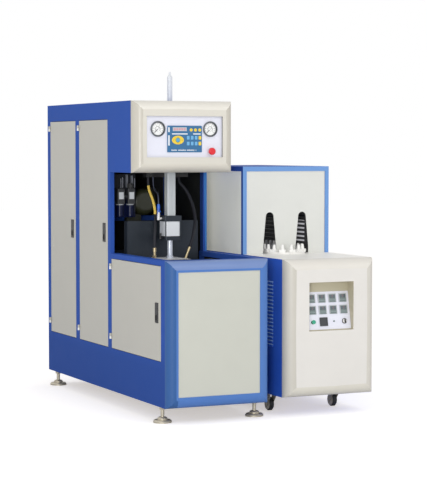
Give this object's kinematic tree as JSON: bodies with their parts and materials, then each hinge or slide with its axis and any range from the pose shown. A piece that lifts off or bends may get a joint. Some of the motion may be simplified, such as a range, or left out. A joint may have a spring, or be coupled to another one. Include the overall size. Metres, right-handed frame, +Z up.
{
  "type": "bottle blow moulding machine with preform heater",
  "caption": "Semi-automatic stretch blow moulding machine for plastic bottles, with its separate preform heater on castors beside it.",
  "frame": {"origin": "on the floor, in the middle of the box round both units", "axes": "+X to the operator's right, +Y from the front to the back, +Z up"},
  "size_m": [1.2684, 1.927, 1.892],
  "materials": {
    "blue_paint": "semi-gloss powder coat",
    "bezel_blue": "semi-gloss powder coat",
    "grey_panel": "fine powder coat",
    "cream_moulding": "moulded glass-fibre shell, satin",
    "heater_moulding": "moulded glass-fibre shell, satin",
    "white_panel": "smooth",
    "bright_steel": "ground",
    "chrome": "polished",
    "dark_steel": "dark machined plate",
    "aluminium": "anodised",
    "black_plastic": "moulded",
    "white_plastic": "moulded",
    "keypad_teal": "printed film",
    "red_plastic": "moulded",
    "green_plastic": "moulded",
    "meter_grey": "moulded",
    "olive_paint": "painted tank",
    "yellow_hose": "smooth hose",
    "black_hose": "smooth hose",
    "grey_hose": "polyurethane tube",
    "brass": "turned",
    "zinc": "zinc plated",
    "lamp_metal": "polished reflector and quartz tubes",
    "wheel_rubber": "solid tread",
    "mould_alloy": "machined mould block with a white neck plate"
  },
  "bodies": {
    "machine": {"machine_frame": "blue_paint", "head_shell": "blue_paint", "hinge_leaves": "zinc", "fixed_covers": "grey_panel", "front_bezel": "bezel_blue", "front_panel": "grey_panel", "head_bezel": "cream_moulding", "head_panel": "white_panel", "gauges": "chrome", "keypad": "keypad_teal", "stop_body": "black_plastic", "stretch_cylinder": "aluminium", "seal_cylinder": "aluminium", "front_platen": "dark_steel", "clamp_cylinder": "dark_steel", "tie_bars": "chrome", "front_mould_half": "mould_alloy", "air_filters": "black_plastic", "air_tank": "olive_paint", "control_gear": "zinc", "yellow_hose": "yellow_hose", "black_hose": "black_hose", "grey_hose": "grey_hose", "hose_fittings": "brass", "service_ports": "brass", "heater_cabinet": "blue_paint", "heater_bezel": "heater_moulding", "meter_panel": "white_panel", "meters": "meter_grey", "oven_frame": "blue_paint", "oven_front": "grey_panel", "lamps": "lamp_metal", "carrier_chain": "white_plastic", "rear_castor_forks": "zinc"},
    "rear_door": {"rear_door": "grey_panel"},
    "middle_door": {"middle_door": "grey_panel"},
    "front_door": {"front_door": "grey_panel"},
    "rear_latch": {"rear_latch": "black_plastic"},
    "middle_latch": {"middle_latch": "black_plastic"},
    "front_latch": {"front_latch": "black_plastic"},
    "left_needle": {"left_needle": "black_plastic"},
    "right_needle": {"right_needle": "black_plastic"},
    "stop_button": {"stop_button": "red_plastic"},
    "clamp": {"moving_platen": "dark_steel", "rear_mould_half": "mould_alloy"},
    "seal_rod": {"seal_rod": "chrome"},
    "stretch_rod": {"stretch_rod": "chrome"},
    "front_left_foot": {"front_left_foot": "zinc"},
    "rear_left_foot": {"rear_left_foot": "zinc"},
    "front_right_foot": {"front_right_foot": "zinc"},
    "rear_right_foot": {"rear_right_foot": "zinc"},
    "regulator_knob": {"regulator_knob": "black_plastic"},
    "start_button": {"start_button": "green_plastic"},
    "key_switch": {"key_switch": "chrome"},
    "left_castor": {"left_castor_fork": "zinc"},
    "right_castor": {"right_castor_fork": "zinc"},
    "front_left_wheel": {"front_left_wheel": "wheel_rubber"},
    "front_right_wheel": {"front_right_wheel": "wheel_rubber"},
    "rear_left_wheel": {"rear_left_wheel": "wheel_rubber"},
    "rear_right_wheel": {"rear_right_wheel": "wheel_rubber"}
  },
  "joints": [
    {"name": "front_door_hinge", "type": "hinge", "parent": "machine", "child": "front_door", "pos_m": [-0.6187, -0.137, 0.586], "axis": [0, 0, -1], "range_deg": [0, 100]},
    {"name": "front_latch_pivot", "type": "hinge", "parent": "front_door", "child": "front_latch", "pos_m": [-0.6072, -0.7935, 0.62902], "axis": [0, 1, 0], "range_deg": [0, 35], "stiffness_Nm_per_rad": 0.4},
    {"name": "middle_door_hinge", "type": "hinge", "parent": "machine", "child": "middle_door", "pos_m": [-0.6187, 0.382, 0.979], "axis": [0, 0, -1], "range_deg": [0, 100]},
    {"name": "middle_latch_pivot", "type": "hinge", "parent": "middle_door", "child": "middle_latch", "pos_m": [-0.6072, -0.0235, 1.02517], "axis": [0, 1, 0], "range_deg": [0, 35], "stiffness_Nm_per_rad": 0.4},
    {"name": "rear_door_hinge", "type": "hinge", "parent": "machine", "child": "rear_door", "pos_m": [-0.6187, 0.8885, 0.979], "axis": [0, 0, -1], "range_deg": [0, 100]},
    {"name": "rear_latch_pivot", "type": "hinge", "parent": "rear_door", "child": "rear_latch", "pos_m": [-0.6072, 0.5005, 1.02517], "axis": [0, 1, 0], "range_deg": [0, 35], "stiffness_Nm_per_rad": 0.4},
    {"name": "left_needle_turn", "type": "hinge", "parent": "machine", "child": "left_needle", "pos_m": [-0.4702, -0.4785, 1.57], "axis": [0, 1, 0], "range_deg": [0, 270], "stiffness_Nm_per_rad": 0.02},
    {"name": "right_needle_turn", "type": "hinge", "parent": "machine", "child": "right_needle", "pos_m": [-0.1542, -0.4785, 1.57], "axis": [0, 1, 0], "range_deg": [0, 270], "stiffness_Nm_per_rad": 0.02},
    {"name": "stop_button_press", "type": "slide", "parent": "machine", "child": "stop_button", "axis": [0, 1, 0], "range_m": [0, 0.005], "stiffness_N_per_m": 900},
    {"name": "clamp_slide", "type": "slide", "parent": "machine", "child": "clamp", "axis": [0, 1, 0], "range_m": [0, 0.18]},
    {"name": "seal_slide", "type": "slide", "parent": "machine", "child": "seal_rod", "axis": [0, 0, 1], "range_m": [0, 0.05]},
    {"name": "stretch_slide", "type": "slide", "parent": "machine", "child": "stretch_rod", "axis": [0, 0, -1], "range_m": [0, 0.24]},
    {"name": "front_left_foot_screw", "type": "slide", "parent": "machine", "child": "front_left_foot", "axis": [0, 0, -1], "range_m": [0, 0.025]},
    {"name": "rear_left_foot_screw", "type": "slide", "parent": "machine", "child": "rear_left_foot", "axis": [0, 0, -1], "range_m": [0, 0.025]},
    {"name": "front_right_foot_screw", "type": "slide", "parent": "machine", "child": "front_right_foot", "axis": [0, 0, -1], "range_m": [0, 0.025]},
    {"name": "rear_right_foot_screw", "type": "slide", "parent": "machine", "child": "rear_right_foot", "axis": [0, 0, -1], "range_m": [0, 0.025]},
    {"name": "regulator_turn", "type": "hinge", "parent": "machine", "child": "regulator_knob", "pos_m": [-0.4352, 0.0165, 1.232], "axis": [0, 0, 1], "continuous": true},
    {"name": "start_button_press", "type": "slide", "parent": "machine", "child": "start_button", "axis": [0, 0.9791, -0.2032], "range_m": [0, 0.004], "stiffness_N_per_m": 500},
    {"name": "key_turn", "type": "hinge", "parent": "machine", "child": "key_switch", "pos_m": [0.45295, -0.9291, 0.51329], "axis": [0, 0.9791, -0.2032], "range_deg": [0, 90]},
    {"name": "left_castor_swivel", "type": "hinge", "parent": "machine", "child": "left_castor", "pos_m": [0.1302, -0.6835, 0.1], "axis": [0, 0, 1], "continuous": true},
    {"name": "front_left_wheel_spin", "type": "hinge", "parent": "left_castor", "child": "front_left_wheel", "pos_m": [0.1302, -0.6535, 0.0375], "axis": [1, 0, 0], "continuous": true},
    {"name": "rear_left_wheel_spin", "type": "hinge", "parent": "machine", "child": "rear_left_wheel", "pos_m": [0.1302, 0.4565, 0.0375], "axis": [1, 0, 0], "continuous": true},
    {"name": "right_castor_swivel", "type": "hinge", "parent": "machine", "child": "right_castor", "pos_m": [0.5302, -0.6835, 0.1], "axis": [0, 0, 1], "continuous": true},
    {"name": "front_right_wheel_spin", "type": "hinge", "parent": "right_castor", "child": "front_right_wheel", "pos_m": [0.5302, -0.6535, 0.0375], "axis": [1, 0, 0], "continuous": true},
    {"name": "rear_right_wheel_spin", "type": "hinge", "parent": "machine", "child": "rear_right_wheel", "pos_m": [0.5302, 0.4565, 0.0375], "axis": [1, 0, 0], "continuous": true}
  ]
}
